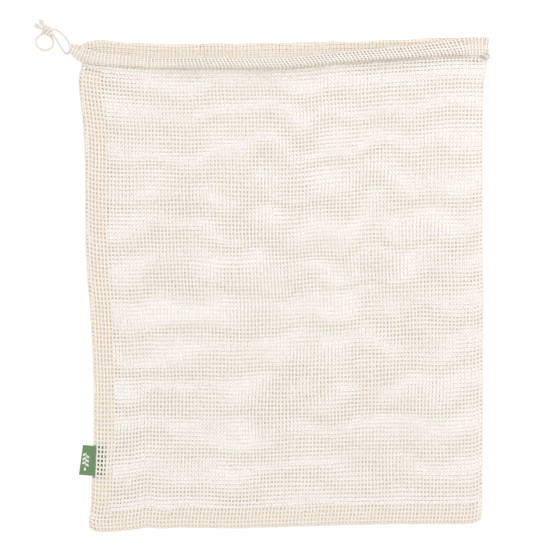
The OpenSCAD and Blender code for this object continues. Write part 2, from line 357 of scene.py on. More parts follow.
EDGE_Z = 1.5
BACK_Z = 0.5
BACK_EDGE_RISE = 0.95  # the back's edges turn up to meet the front's
FRONT_EDGE_W = 40.0  # the panels leave their edges' height over these widths
BACK_EDGE_W = 7.0
crown_z = node_box("front_panel")[1][2] - CLOTH_T / 2
SLACK = 6.4  # how far the empty front sinks below the CAD's cushion
SLACK_Y = -11
SLACK_HALF = (167, 185)  # from its middle to its sides and its ends
MOUTH_LOSS = 2.0  # how much lower the front is at half height than at the mouth
MOUTH_Y = 180
TUCK = 1.6  # a groove below the channel
TUCK_BELOW = 7.0
TUCK_W = 4.0
RIPPLE = 0.6
FINE_RIPPLE = 0.15
BACK_RIPPLE = 0.2

SHARED_DRIFT = (0.6, 0.55)  # how far the yarns wander, both panels together
CELL_DRIFT = 0.09  # from cell to cell
APART_DRIFT = (0.72, 0.9)  # the back against the front
LOW_PUSH = 1.5  # rows pushed together at the bottom
LOW_RISE = 10
LOW_FADE = 6
BUNCH = 1.5  # rows pushed together under the channel, away from the side seam
BUNCH_OVER = 10.0
BUNCH_START = -135
BUNCH_GROW = 50
FLARE = 2.6  # the right edge flares up to the channel
FLARE_START = 160
FLARE_GROW = 16

PANEL_LOW = -200  # about where the panels start, before their outlines are followed
PANEL_H = 378

front_ripple = wave_field(3, 150, 50)
front_fine_ripple = wave_field(4, 60, 26)
back_ripple = wave_field(5, 90, 60)
shared_x = wave_field(11, 140, 110)
shared_y = wave_field(13, 170, 80)
apart_x = wave_field(12, 120, 65)
apart_y = wave_field(14, 130, 75)
cell_x = {"front": wave_field(15, 7, 7, 30), "back": wave_field(16, 7, 7, 30)}
cell_y = {"front": wave_field(17, 7, 7, 30), "back": wave_field(18, 7, 7, 30)}


def rise(away, over):
    """A quarter round from 0 at the edge to 1 at over millimetres away from it."""
    return np.sqrt(np.clip(1 - (1 - np.clip(away / over, 0, 1)) ** 2, 0, 1))


def crown(x, y, over):
    """From 0 at the panel's seams and fold to 1 inside them."""
    side = np.minimum(x - left_x(y), right_x(y) - x)
    return rise(side, over) * rise(y - bottom_y(x), over)


def front_height(x, y):
    """Middle of the front panel's yarn: low at its seams, slack in the middle, up again at the mouth."""
    slack = SLACK * np.exp(-((x / SLACK_HALF[0]) ** 6) - ((y - SLACK_Y) / SLACK_HALF[1]) ** 6)
    mouth = crown_z - MOUTH_LOSS * (1 - np.clip(y / MOUTH_Y, 0, 1))
    tuck = TUCK * np.exp(-(((front_foot_y(x) - y) - TUCK_BELOW) / TUCK_W) ** 2)
    wrinkles = RIPPLE * front_ripple(x, y) + FINE_RIPPLE * front_fine_ripple(x, y)
    return EDGE_Z + crown(x, y, FRONT_EDGE_W) * (mouth - EDGE_Z - slack - tuck + wrinkles)


def back_height(x, y):
    """Middle of the back panel's yarn, which lies on the table with a few low wrinkles."""
    inside = crown(x, y, BACK_EDGE_W)
    wrinkles = BACK_RIPPLE * (1 + back_ripple(x, y)).clip(0, 2)
    return BACK_Z + BACK_EDGE_RISE * (1 - inside) + wrinkles * inside


def panel_surface(layer, u, v):
    """Places on a panel. u runs from the seam to the fold, v from the bottom to the channel."""
    height = front_height if layer == "front" else back_height
    y = PANEL_LOW + PANEL_H * v
    for _ in range(2):
        x = left_x(y) * (1 - u) + right_x(y) * u
        y = bottom_y(x) * (1 - v) + front_foot_y(x) * v
    free_u = np.sqrt(np.clip(np.sin(math.pi * np.clip(u, 0, 1)), 0, 1))
    free = free_u * np.sqrt(np.clip(np.sin(math.pi * np.clip(v, 0, 1)), 0, 1))
    above = (y - bottom_y(x)) / LOW_RISE
    low_rows = LOW_PUSH * (1 - np.exp(-above)) * np.exp(-above / LOW_FADE)
    dx = SHARED_DRIFT[0] * shared_x(x, y) * free + CELL_DRIFT * cell_x[layer](x, y)
    dy = SHARED_DRIFT[1] * shared_y(x, y) * free + CELL_DRIFT * cell_y[layer](x, y) - low_rows
    if layer == "back":
        # Lying on each other, the panels' yarns mostly line up as the camera sees them.
        gap = (front_height(x, y) - height(x, y)) / CAMERA_UP
        dx = dx + (x - VIEW_CENTRE[0]) * gap + APART_DRIFT[0] * apart_x(x, y) * free
        dy = dy + (y - VIEW_CENTRE[1]) * gap + APART_DRIFT[1] * apart_y(x, y) * free
    else:
        below = (front_foot_y(x) - y) / BUNCH_OVER
        dy = dy + BUNCH * smoothstep((x - BUNCH_START) / BUNCH_GROW) * below * np.exp(1 - below)
    dx = dx + FLARE * u**12 * smoothstep((y - FLARE_START) / FLARE_GROW)
    x, y = x + dx, y + dy
    return np.stack([x, y, height(x, y)], axis=-1)


def net(surface, us, vs, pillar_r, weft_r, seed, skip=()):
    """Pillars at each of us, wefts at each of vs, both through surface(u, v). Each yarn is thicker
    where it is knotted to the others, which rounds the holes. skip names the edges whose yarn
    belongs to another piece: "first" and "last" pillar, and "low" weft."""
    rng = np.random.default_rng(seed)
    us_fine, vs_fine = with_middles(us), with_middles(vs)
    pillar_us = us[(1 if "first" in skip else 0) : (len(us) - 1 if "last" in skip else len(us))]
    weft_vs = vs[(1 if "low" in skip else 0) :]
    knot = 1 - PILLAR_WAIST * (np.arange(len(vs_fine)) % 2)
    uneven = 1 + UNEVEN * rng.normal(size=(len(pillar_us), len(vs_fine)))
    grid_u, grid_v = np.meshgrid(pillar_us, vs_fine, indexing="ij")
    pillars = surface(grid_u, grid_v)
    pillars[..., 2] += PILLAR_LIFT
    r = pillar_r * knot * uneven
    parts = [tubes(pillars, r, r * FLAT)]
    knot = 1 - WEFT_WAIST * (np.arange(len(us_fine)) % 2)
    uneven = 1 + UNEVEN * rng.normal(size=(len(weft_vs), len(us_fine)))
    grid_v, grid_u = np.meshgrid(weft_vs, us_fine, indexing="ij")
    wefts = surface(grid_u, grid_v)
    wefts[..., 2] += WEFT_WAVE * np.cos(math.pi * np.arange(len(us_fine)) / 2) - WEFT_DROP
    r = weft_r * knot * uneven
    parts.append(tubes(wefts, r, r * FLAT))
    return joined(parts)


STRIPS = 4  # a panel's pieces, from the seam to the fold
GATHER_HEIGHT = front_hem[-1, 1] - bottom_y(160.0)


def gathers(piece):
    """A piece of cloth that the drawstring gathers at the folded corner of the mouth: its place is
    baked into its points, and it does not move with the cord."""
    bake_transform(piece)


def make_panel(layer, rows):
    """One panel's net, in strips. Neighbours share a pillar, and the back leaves its edges' yarns to
    the front."""
    back = layer == "back"
    vs = np.arange(rows + 1) / rows
    if back:  # half a row out of step at the bottom, in step again below the channel
        vs = np.concatenate([[0], (np.arange(rows + 1) + 0.5) / (rows - 0.5)])
    per_strip = COLUMNS // STRIPS
    thick = BACK_THICK if back else 1.0
    for k in range(STRIPS):
        us = np.arange(k * per_strip, (k + 1) * per_strip + 1) / COLUMNS
        skip = ["low"] if back else []
        if k > 0 or back:
            skip.append("first")
        if k == STRIPS - 1 and back:
            skip.append("last")
        points, faces = net(
            lambda u, v: panel_surface(layer, u, v), us, vs,
            pillar_r=PILLAR_R * thick, weft_r=WEFT_R * thick, seed=20 + k + 7 * rows, skip=skip,
        )
        strip = mesh_object(f"{layer}_net_{k + 1}", points, faces, BACK_NET_PAINTED_LIGHT if back else NET)
        if k == STRIPS - 1:
            stands_for = ["back_panel"] if back else ["front_panel", "right_fold"]
            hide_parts(*stands_for)
        gathers(strip)


make_panel("back", BACK_ROWS)
make_panel("front", FRONT_ROWS)


# ------------------------------------------------------------ seam allowances

TURN_R = 1.25
TURN_DRIFT = 0.2
TURN_CELL_DRIFT = 0.15
TURN_APART = 40  # the turns take their drift from places this far apart
UNDER_FRONT = 1.3  # the deeper turn below the front's yarn
TURN_GAP = 0.55  # between the two turns
TURN_LOW = (0.9, 1.4)  # neither turn sinks below these heights
LABEL_START, LABEL_END = -130.0, -160.0  # where the label's root lies between the layers
LABEL_ROOT_W = 12
LABEL_ROOM = 1.0  # how much deeper the cloth lies there
allowance_fold = wave_field(31, 60, 40)


def under_front(x, y, turn):
    """Heights of the folded-in cloth, whose two turns lie close under the front panel's net."""
    at_label = smoothstep((y - LABEL_END) / 3) * smoothstep((LABEL_START - y) / 3)
    at_label = at_label * smoothstep((left_x(y) + LABEL_ROOT_W - x) / 2)
    below = UNDER_FRONT - TURN_GAP * turn + LABEL_ROOM * at_label
    return np.maximum(front_height(x, y) - below, TURN_LOW[turn])


def side_allowance(turn):
    """A surface(u, v) for one turn of the side seam's folded-in cloth. Its columns and rows keep
    step with the front panel's, so that they lie behind its holes, and it widens upwards."""

    def surface(u, v):
        upper = smoothstep(v * 1.6)
        column = u * COLUMNS
        # Low down the inner columns lie closer. Higher up the outermost one lies half a cell in.
        column = column - 0.8 * (1 - upper) * smoothstep((column - 3.5) / 2)
        column = column + 0.5 * upper * (1 - smoothstep(column - 0.5))
        x, y, _ = np.moveaxis(panel_surface("front", column / COLUMNS, v), -1, 0)
        other = TURN_APART * turn
        x = x + TURN_DRIFT * allowance_fold(x, y) + TURN_CELL_DRIFT * cell_x["back"](x + other, y)
        y = y + TURN_DRIFT * allowance_fold(y, x) + TURN_CELL_DRIFT * cell_y["back"](x + other, y)
        return np.stack([x, y, under_front(x, y, turn)], axis=-1)

    return surface


def bottom_allowance(turn):
    """The same along the bottom seam, where the upper edge waves a little."""

    def surface(u, v):
        row = v * FRONT_ROWS
        row = row + 0.12 * allowance_fold(400 * u, 5.0) * smoothstep((row - 2) / 2)
        x, y, _ = np.moveaxis(panel_surface("front", u, row / FRONT_ROWS), -1, 0)
        other = TURN_APART * turn
        x = x + TURN_CELL_DRIFT * cell_x["back"](x, y + other)
        y = y + TURN_CELL_DRIFT * cell_y["back"](x, y + other)
        return np.stack([x, y, under_front(x, y, turn)], axis=-1)

    return surface


def make_turn(node, turn, surface, columns, rows, seed):
    """One turn of a seam's folded-in cloth, with yarns at those columns and rows of the front's grid."""
    us, vs = columns / COLUMNS, rows / FRONT_ROWS
    points, faces = net(surface, us, vs, TURN_R, TURN_R, seed)
    flap = mesh_object(f"{node}_{turn + 1}", points, faces, INNER_NET_PAINTED_WARM_SHADE)
    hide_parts(node)
    gathers(flap)


for turn in (0, 1):
    make_turn(
        "side_seam_allowance", turn, side_allowance(turn), columns=np.arange(6) + 0.5 + 0.5 * turn,
        rows=np.arange(4, 106) + 0.5 - 0.5 * turn, seed=41 + turn,
    )
    make_turn(
        "bottom_seam_allowance", turn, bottom_allowance(turn),
        columns=np.arange(1, 111) + 0.5 + 0.5 * turn,
        rows=np.arange(4 + turn) + 0.5 - 0.1 * turn, seed=43 + turn,
    )


# -------------------------------------------------------- drawstring channel

HEM_ROUND = 13  # cells round the channel
HEM_PITCH = 2.94
HEM_END_GAP = 0.6  # the net stops this much before the channel's ends
HEM_BLUR = 2
HEM_UNEVEN = 0.07
HEM_TWIST = 2.2  # the front's loops lean this much along the channel
HEM_ROLL = 0.04  # its wefts draw together towards its foot, in turns
HEM_PUFF = 0.035
HEM_SKIN = (1.0, 0.7)  # the channel's width and thickness over those of the yarns' middles
FOLD_REACH = 12  # the front's twist ends this far before the fold
FOLD_FADE = 20
OPENING = 0.65  # how much thinner the turned-in layer's yarns are where they draw apart
RIDGE_W = 0.1  # in turns round the channel
WEFT_FILL = 0.28  # a weft's radius over the way to its neighbours
WEFT_R_RANGE = (0.42, 0.85 * WEFT_R)
LOWEST = 0.05  # no yarn of the channel goes below this
OUTLET_LIP = 1.6  # how far the channel's cloth goes on past the outlet


def hem_path():
    """Stations along the whole channel, from the outlet along the front, round the fold and back:
    [x, y, z of the centre, width, thickness, degrees from straight up to its outer side]."""
    sleeve = list(outlet[outlet[:, 0] < outlet[:, 0].max() - 0.1])
    tip = sleeve[0] + (-OUTLET_LIP, 0.5, 0, -0.8, 0)
    sleeve = [tip, *sleeve]
    # The outlet's upper half goes on from the front's channel, its lower half from the back's.
    rows = [[x, y, z + t / 4, w, t / 2, 0] for x, y, z, w, t in sleeve]
    rows += [[*station, 0] for station in front_hem]
    front_end, back_end = front_hem[-1], back_hem[-1]
    middle_z = (front_end[2] + back_end[2]) / 2
    radius = middle_z - back_end[2]
    for degrees in (30, 60, 90, 120, 150):
        a = math.radians(degrees)
        x, y, _, w, t = front_end + (back_end - front_end) * degrees / 180
        rows.append([x + radius * math.sin(a), y, middle_z + radius * math.cos(a), w, t * 0.9, degrees])
    rows += [[*station, 180] for station in back_hem[::-1]]
    rows += [[x, y, z - t / 4, w, t / 2, 180] for x, y, z, w, t in sleeve[::-1]]
    rows = np.array(rows)
    along = np.concatenate([[0], np.cumsum(np.linalg.norm(np.diff(rows[:, :3], axis=0), axis=1))])
    return along, rows


hem_along, hem_rows = hem_path()
hem_curves = [smooth_curve(hem_along * 2, hem_rows[:, k], 2 * HEM_BLUR) for k in range(6)]
hem_bump = wave_field(51, 60, 15)
hem_drift = wave_field(52, 60, 30)
fold_s = hem_along[np.argmax(hem_rows[:, 5] == 90)]


def flat_tube(share, w, t):
    """A place round a flattened tube's section, as far round as share of its length: (across, up)."""
    r = np.minimum(t, w) / 2
    h = w / 2 - r
    length = 4 * h + TAU * r
    d = np.mod(share, 1) * length
    corner = TAU * r / 4
    near, far = corner + 2 * h, corner + 2 * h + 2 * corner
    # From the mouth's side: a quarter round, the top, a half round, the underside, a quarter round.
    a = np.where(d < corner, d, np.where(d > far + 2 * h, d - 4 * h, corner)) / r
    end = (d < corner) | (d > far + 2 * h)
    b = (d - near + corner) / r
    turn = (d >= near) & (d <= far)
    across = np.where(end, h + r * np.cos(a), np.where(turn, -h + r * np.cos(b), 0))
    up = np.where(end, r * np.sin(a), np.where(turn, r * np.sin(b), 0))
    top, under = (d >= corner) & (d < near), (d > far) & (d <= far + 2 * h)
    across = np.where(top, h - (d - corner), np.where(under, -h + (d - far), across))
    up = np.where(top, r, np.where(under, -r, up))
    return across, up


def along_front(s, start, grow):
    """From 0 to 1 where s is on the channel's front, past start and before the fold."""
    return smoothstep((fold_s - FOLD_REACH - s) / FOLD_FADE) * smoothstep((s - start) / grow)


def hem_surface(s, around, inset=0.0):
    """Places on the channel's cloth, s millimetres along it and around it in turns. inset moves
    them in from the outer layer. The rolled stretch of the front is twisted, so its loops lean."""
    on_front = along_front(s, 75, 60)
    around = around + 0.008 * hem_drift(s, 0 * s) + HEM_ROLL * on_front * np.sin(TAU * around)
    s = s - HEM_TWIST * on_front * np.cos(TAU * around)
    x, y, z, w, t, lean = (curve(2 * s) for curve in hem_curves)
    lean = np.radians(lean)
    step = 1.0
    ahead = unit(
        np.stack([curve(2 * s + step) - curve(2 * s - step) for curve in hem_curves[:3]], axis=-1)
    )
    normal = np.stack([np.sin(lean), 0 * lean, np.cos(lean)], axis=-1)
    across = unit(np.cross(normal, ahead))
    normal = np.cross(ahead, across)
    puff = 1 + HEM_PUFF * hem_bump(s, around * 30)
    inset = 2 * inset * (0.7 + 0.7 * on_front)
    thickness = np.maximum(t - HEM_SKIN[1] - inset, 0.4)
    across_by, up_by = flat_tube(around, w - HEM_SKIN[0] - inset, thickness)
    wide, high = across_by * puff, up_by * puff
    centre = np.stack([x, y, z], axis=-1)
    return centre + wide[..., None] * across + high[..., None] * normal


def hem_opening(s, around):
    """From 0 to 1, how far the turned-in layer's yarns draw apart: along the front's ridge."""
    most = along_front(s, 40, 40) * (1 - 0.75 * smoothstep((s - 230) / 60))
    from_ridge = (around + 0.4) % 1 - 0.5
    return most * np.exp(-((from_ridge / RIDGE_W) ** 2))


HEM_START, HEM_END = HEM_END_GAP, hem_along[-1] - HEM_END_GAP


def hem_net(name, material, seed, inset, shift, width, thick=1.0, start=HEM_START, end=HEM_END):
    """One layer of the channel's net, from start to end along it: loops round it, and wefts along
    it, which are thin where they lie close together. shift moves its cells, in cells, so that
    layers don't line up. width is the cloth's own, laid flat, in metres; it is not used."""
    length = end - start
    count = int(length / HEM_PITCH)
    s_fine = start + HEM_PITCH * shift + np.arange(2 * count + 1) / 2 * HEM_PITCH
    s_loops = s_fine[::2]
    turns = (np.arange(2 * HEM_ROUND) + 2 * shift) / (2 * HEM_ROUND)
    rng = np.random.default_rng(seed)
    loops = hem_surface(*np.meshgrid(s_loops, turns, indexing="ij"), inset)
    outward = unit(loops - loops.mean(axis=1, keepdims=True))
    knot = 1 - PILLAR_WAIST * (np.arange(2 * HEM_ROUND) % 2)
    opened = 1 - OPENING * (inset > 0) * hem_opening(*np.meshgrid(s_loops, turns, indexing="ij"))
    r = thick * opened * PILLAR_R * knot * (1 + HEM_UNEVEN * rng.normal(size=loops.shape[:2]))
    parts = [tubes(loops, r, r * FLAT / thick, up=outward, closed=True)]
    around, s = np.meshgrid(turns[::2], s_fine, indexing="ij")
    wefts = hem_surface(s, around, inset)
    outward = unit(wefts - wefts.mean(axis=0, keepdims=True))
    knot = 1 - WEFT_WAIST * (np.arange(len(s_fine)) % 2)
    apart = np.linalg.norm(np.roll(wefts, -1, axis=0) - wefts, axis=-1)
    apart = (apart + np.roll(apart, 1, axis=0)) / 2
    opened = 1 - OPENING * (inset > 0) * hem_opening(s, around)
    r = thick * opened * np.clip(WEFT_FILL * apart, *WEFT_R_RANGE) * knot
    r = r * (1 + HEM_UNEVEN * rng.normal(size=wefts.shape[:2]))
    parts.append(tubes(wefts, r, r * FLAT / thick, up=outward))
    points, faces = joined(parts)
    points[:, 2] = np.maximum(points[:, 2], LOWEST)
    hem = mesh_object(name, points, faces, material)
    gathers(hem)
    return hem


hem = hem_net("drawstring_channel_net", NET, seed=53, inset=0.0, shift=0.0, width=0.036)
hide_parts("back_hem_channel", "front_hem_channel", "hem_fold", "cord_outlet")
inner = {"inset": 0.6, "shift": 0.5, "width": 0.046}
# The front channel's turned-in layer carries painted shade in its material.
hem_net("front_channel_turned_in_net", CHANNEL_NET_PAINTED_SHADE, seed=54, thick=1.75, end=fold_s, **inner)
# The back channel's turned-in layer carries painted warm light in its material.
hem_net("back_channel_turned_in_net", BACK_CHANNEL_NET_PAINTED_WARM_LIGHT, seed=55, thick=1.3, start=fold_s, **inner)


# ------------------------------------------------------------------ stitching

STITCH = 2.0
STITCH_PITCH = 2.6
STITCH_R = 0.24
STITCH_RISE = 0.25
STITCH_ABOVE = 0.45  # above the net's yarns
STITCH_BELOW = 1.2  # below the channel's foot


def stitches(centres):
    """Short threads that dip at both ends, one for each [x, y, z, heading] row."""
    t = np.linspace(-0.5, 0.5, 5)
    along = np.stack([np.cos(centres[:, 3]), np.sin(centres[:, 3]), 0 * centres[:, 3]], axis=-1)
    paths = centres[:, None, :3] + along[:, None, :] * (t * STITCH)[None, :, None]
    paths[..., 2] += STITCH_RISE * (1 - (2 * t) ** 2)
    return tubes(paths, STITCH_R, STITCH_R)


def hem_stitches(name, foot_y, height, node):
    """The row of stitches that holds a channel's turned-in edge, just below its foot."""
    xs = np.arange(-163.0, 161.0, STITCH_PITCH)
    ys = foot_y(xs) - STITCH_BELOW
    heading = np.arctan2(np.gradient(ys), np.gradient(xs))
    centres = np.stack([xs, ys, height(xs, ys) + STITCH_ABOVE, heading], axis=-1)
    row = mesh_object(name, *stitches(centres), THREAD)
    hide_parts(node)
    gathers(row)


hem_stitches("front_hem_stitches", front_foot_y, front_height, "front_hem_stitching")
hem_stitches("back_hem_stitches", back_foot_y, back_height, "back_hem_stitching")


ZIGZAG = 1.5  # from corner to corner along the seam
ZIGZAG_W = 2.6
ZIGZAG_Z = 3.0
ZIGZAG_RISE = 0.25
ZIGZAG_OUT = 0.3  # past the side's raw edge
SIDE_TURN_W = 16.5  # the folded-in cloth's width at its lower end
SIDE_WIDENS = 3.5
BOTTOM_TURN_W = 17.2
OVERLOCK_R = (0.22, 0.2)


def overlock(name, line, node):
    """A zigzag thread over the raw edges of a seam, through the places of line."""
    thread = mesh_object(name, *tubes(line[None], *OVERLOCK_R), THREAD)
    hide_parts(node)
    gathers(thread)


ys = np.arange(-180.0, 172.0, ZIGZAG)
turns = np.arange(len(ys)) % 2
in_by = SIDE_TURN_W + SIDE_WIDENS * smoothstep((ys + 40) / 180)
xs = left_x(ys) + in_by - ZIGZAG_W * turns + ZIGZAG_OUT
side_line = np.stack([xs, ys, ZIGZAG_Z + ZIGZAG_RISE * turns], axis=-1)
overlock("side_seam_overlock", side_line, "side_seam_thread")
xs = np.arange(-155.0, 157.0, ZIGZAG)
turns = np.arange(len(xs)) % 2
ys = bottom_y(xs) + BOTTOM_TURN_W - ZIGZAG_W * turns
bottom_line = np.stack([xs, ys, ZIGZAG_Z + ZIGZAG_RISE * turns], axis=-1)
overlock("bottom_seam_overlock", bottom_line, "bottom_seam_thread")


# ----------------------------------------------------------------- drawstring

CORD_D = 1.9
PLIES = 4
PLY_SHARE = 0.265  # a ply's radius over the cord's diameter
PLY_OUT = 0.52  # the plies' outer side, over the cord's diameter
# The cord's places, listed along the CAD cord: once round the channel, two legs that go
# into the knot, and two tails that come out of it.
RUN = [
    (-175, 194.2, 4.2), (-171, 192, 4.7), (-166, 188, 5.35), (-150, 183, 10.2),
    (-110, 180, 11.6), (0, 180.5, 11.6), (45, 182.2, 11.6), (78, 184.6, 11.6),
    (111, 187.6, 11.6), (144, 192.4, 10.4), (164, 194.4, 5.35), (165.3, 193.8, 4.8),
    (165.9, 192.8, 3.6), (165.3, 192.2, 2.3), (164, 192, 1.7), (150, 191.6, 1.7), (60, 188.4, 1.7),
    (-60, 187.6, 1.7), (-143, 189.5, 1.7), (-166, 188.5, 1.7), (-169, 189, 1.9),
    (-175, 190.8, 2.6),
]
UPPER_LEG = [
    (-175, 194.2, 4.2), (-176.2, 197, 3.9), (-178, 200.2, 3.2), (-180.4, 203.2, 2.4),
    (-183.4, 205.9, 2), (-186.4, 207.8, 2.2), (-189, 208.6, 3),
]
LOWER_LEG = [
    (-175, 190.8, 2.6), (-177, 189.3, 1.9), (-179, 188.8, 1.3), (-181.1, 191, 1.1),
    (-184, 195.5, 1.1), (-186.6, 200, 1.5), (-188.6, 203.4, 3.0), (-189.8, 205.2, 4.4),
]
TAIL_LONG = [(-198.6, 209, 3), (-200.4, 210, 2.1), (-202, 211, 1.4), (-203, 211.6, 1.2)]
TAIL_SHORT = [(-197, 210.2, 3.6), (-197.8, 212, 2.6), (-198.6, 213.8, 1.7), (-199.2, 215, 1.4)]
KNOT = np.array([-194, 207.1, 3.4])
RING = np.array([-196.5, 198.2, CORD_D / 2])
RING_R = 6.8
RING_TOP = 76  # degrees, where the ring meets the knot
RING_GAP = 30  # degrees to each side of that


def spline(points, step):
    """A smooth line through points, with places about step apart."""
    p = np.array(points, float)
    p = np.concatenate([[2 * p[0] - p[1]], p, [2 * p[-1] - p[-2]]])
    line = []
    for a, b, c, d in zip(p[:-3], p[1:-2], p[2:-1], p[3:]):
        count = max(2, int(np.linalg.norm(c - b) / step))
        t = (np.arange(count) / count)[:, None]
        square, cube = 2 * a - 5 * b + 4 * c - d, 3 * b - a - 3 * c + d
        line.append(0.5 * (2 * b + (c - a) * t + square * t**2 + cube * t**3))
    return np.concatenate([*line, p[-2:-1]])


def carried_frames(line):
    """Two directions across a line that turn as little as they can along it."""
    ahead = unit(np.gradient(line, axis=0))
    side = np.zeros_like(line)
    start = np.cross(ahead[0], (0, 0, 1))
    side[0] = start / np.linalg.norm(start)
    for k in range(1, len(line)):
        moved = side[k - 1] - ahead[k] * (side[k - 1] @ ahead[k])
        side[k] = moved / np.linalg.norm(moved)
    return side, np.cross(ahead, side)


def twisted_cord(line, diameter=CORD_D, lay=6.0, fray=0.0):
    """Plies of yarn twisted round a line, one turn every lay millimetres. Over the last fray
    millimetres they swell and come apart."""
    along = np.concatenate([[0], np.cumsum(np.linalg.norm(np.diff(line, axis=0), axis=1))])
    apart = smoothstep((along - along[-1] + fray) / max(fray, 0.1)) if fray else 0 * along
    side, over = carried_frames(line)
    ply_r = diameter * PLY_SHARE * (1 + 0.25 * apart)
    off = diameter * (PLY_OUT - PLY_SHARE) * (1 + 1.9 * apart)
    parts = []
    for ply in range(PLIES):
        a = (TAU * (along / lay + ply / PLIES))[:, None]
        out = np.cos(a) * side + np.sin(a) * over
        path = line + off[:, None] * out * (1, 1, 0.6)
        parts.append(tubes(path[None], ply_r, ply_r, up=out[None], sides=8))
    return joined(parts)


def cord_piece(name, line, body=None, **shape):
    """A stretch of cord along a line, which rides on a body if one is given."""
    piece = mesh_object(name, *twisted_cord(line, **shape), CORD)
    if body:
        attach(piece, body)
    return piece


def through_knot(leg, tail, side):
    """A route that comes in along a leg, goes through the knot, and leaves along a tail."""
    inside = [KNOT + (2.6, -0.4 + side, 0.3 * side), KNOT + (-1.8, 1.6 + side, 0.2 * side)]
    return spline([*leg, *inside, *tail], 0.35)


run = cord_piece("drawstring_in_channel", spline(RUN, 0.9), "drawstring")
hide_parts("drawstring_run")
upper_line = through_knot(UPPER_LEG, TAIL_SHORT, 0.5)
upper = cord_piece("drawstring_upper_leg_cord", upper_line, "drawstring", fray=6.0)
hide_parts("drawstring_upper_leg", "frayed_tails")
lower_line = through_knot(LOWER_LEG, TAIL_LONG, -0.5)
lower = cord_piece("drawstring_lower_leg_cord", lower_line, "drawstring", fray=5.0)
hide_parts("drawstring_lower_leg")

# The ring's ends go up into the knot.
RING_OVAL = 0.04
RING_TILT = 0.2  # half of how much higher it lies at the knot than opposite
ring_angles = np.radians(np.linspace(RING_TOP + RING_GAP, RING_TOP + 360 - RING_GAP, 40))
squeeze = 1 + RING_OVAL * np.cos(2 * ring_angles + 0.6)
ring_arc = np.stack(
    [
        RING[0] + RING_R * squeeze * np.cos(ring_angles),
        RING[1] + RING_R * squeeze * np.sin(ring_angles),
        RING[2] + RING_TILT * (1 + np.sin(ring_angles)),
    ],
    axis=-1,
)
ring_in = [KNOT + (-2.6, -0.2, -1.2), KNOT + (-4.0, -1.4, -1.7)]
ring_out = [KNOT + (3.4, -2.9, -1.7), KNOT + (2.2, -1.0, -1.2)]
ring_line = spline([*ring_in, *ring_arc, *ring_out], 0.4)
ring = cord_piece("hanging_ring_cord", ring_line)
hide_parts("hanging_ring")
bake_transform(ring)

# The wraps of the stopper knot: a coil round the line from the legs to the tails, narrower
# towards both ends, where the cord is tucked in.
KNOT_TURNS = 3.0
KNOT_PITCH = 2.55
KNOT_R = (3.0, 2.1)  # along the table and up
t = np.linspace(0, 1, 150)
knot_axis = unit(np.array([-0.80, 0.60, 0.0]))
knot_side = unit(np.array([0.66, 0.75, 0.0]))
angle = TAU * KNOT_TURNS * t + 0.9
tuck = 1 - 0.28 * (2 * t - 1) ** 2 - 0.35 * smoothstep((np.abs(t - 0.5) - 0.42) / 0.08)
coil = (
    KNOT
    + knot_axis * ((t - 0.5) * KNOT_TURNS * KNOT_PITCH)[:, None]
    + knot_side * (KNOT_R[0] * tuck * np.cos(angle))[:, None]
    + np.array([0, 0, 1.0]) * (KNOT_R[1] * tuck * np.sin(angle))[:, None]
)
knot = cord_piece("stopper_knot_wraps", coil, "drawstring", diameter=2.5, lay=6.5)
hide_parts("stopper_knot")


def frayed(name, line, seed, count):
    """Loose fibres that fan out of a cut end."""
    rng = np.random.default_rng(seed)
    t = np.linspace(0, 1, 7)[None, :, None]
    heading = unit(line[-1] - line[-5])
    start = line[-rng.integers(1, 9, count)] + 0.75 * rng.normal(size=(count, 3)) * (1, 1, 0.5)
    out = heading + 0.3 * rng.normal(size=(count, 3)) * (1, 1, 0.4)
    reach = rng.uniform(1.6, 3.6, (count, 1))
    curl = 0.6 * rng.normal(size=(count, 3)) * (1, 1, 0.5)
    paths = start[:, None] + (out * reach)[:, None] * t + curl[:, None] * t**2
    paths[..., 2] = np.maximum(paths[..., 2], 0.2)
    r = np.linspace(0.17, 0.06, 7)[None] * np.ones((count, 1))
    piece = mesh_object(name, *tubes(paths, r, r, sides=4), CORD)
    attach(piece, "drawstring")
    return piece


short_end = frayed("frayed_end_short", upper_line, seed=61, count=60)
long_end = frayed("frayed_end_long", lower_line, seed=62, count=30)


# ---------------------------------------------------------------------- label

flap = node_points("label_flap")
LABEL_TILT = math.radians(-4)
LABEL_T = 0.9
LABEL_W = 24.5
LABEL_OUT = 6.5  # at its shorter end, from the line where it is sewn in
LABEL_SKEW = 1.5
LABEL_OVER = 3.7  # how far it lies on the net before it goes into the seam
LABEL_ROOT = 10.6
LABEL_HALF = 12  # half way down
LABEL_DROOP = 0.04  # its free end sinks towards the table
MOTIF_UP = 0.13  # the motif's middle above the tape
MOTIF_ROUND = 0.1  # and above its own edges
LABEL_HINGE = np.array([flap[:, 0].max(), -132.3, (flap[:, 2].min() + flap[:, 2].max()) / 2])


def label_place(out, down):
    """A place on the middle of the label: out from the seam, and down along it from its top corner."""
    c, s = math.cos(LABEL_TILT), math.sin(LABEL_TILT)
    x = LABEL_HINGE[0] - out * c + down * s
    y = LABEL_HINGE[1] - out * s - down * c
    on_net = front_height(np.maximum(x, left_x(y)), y)
    over = on_net + 0.5 + LABEL_T / 2
    under = on_net - 0.5 - LABEL_T / 2
    # Outside, it hangs from the seam. It then lies on the net, and goes in under it.
    sewn_in = smoothstep((-out - LABEL_OVER - 0.02 * down) / 1.6)
    wavy = 0.6 + 0.4 * np.cos(down / LABEL_W * 3)
    lying = LABEL_HINGE[2] - LABEL_DROOP * np.clip(out, 0, 99) ** 1.6 * wavy
    start = 0.3 * (np.abs(down - LABEL_HALF) / LABEL_HALF) ** 2
    z = lying + (over - lying) * smoothstep(-out / 3.0 + 0.55 + start)
    z = z + (under - z) * sewn_in
    return np.stack([x, y, np.maximum(z, LABEL_T / 2 + 0.12)], axis=-1)


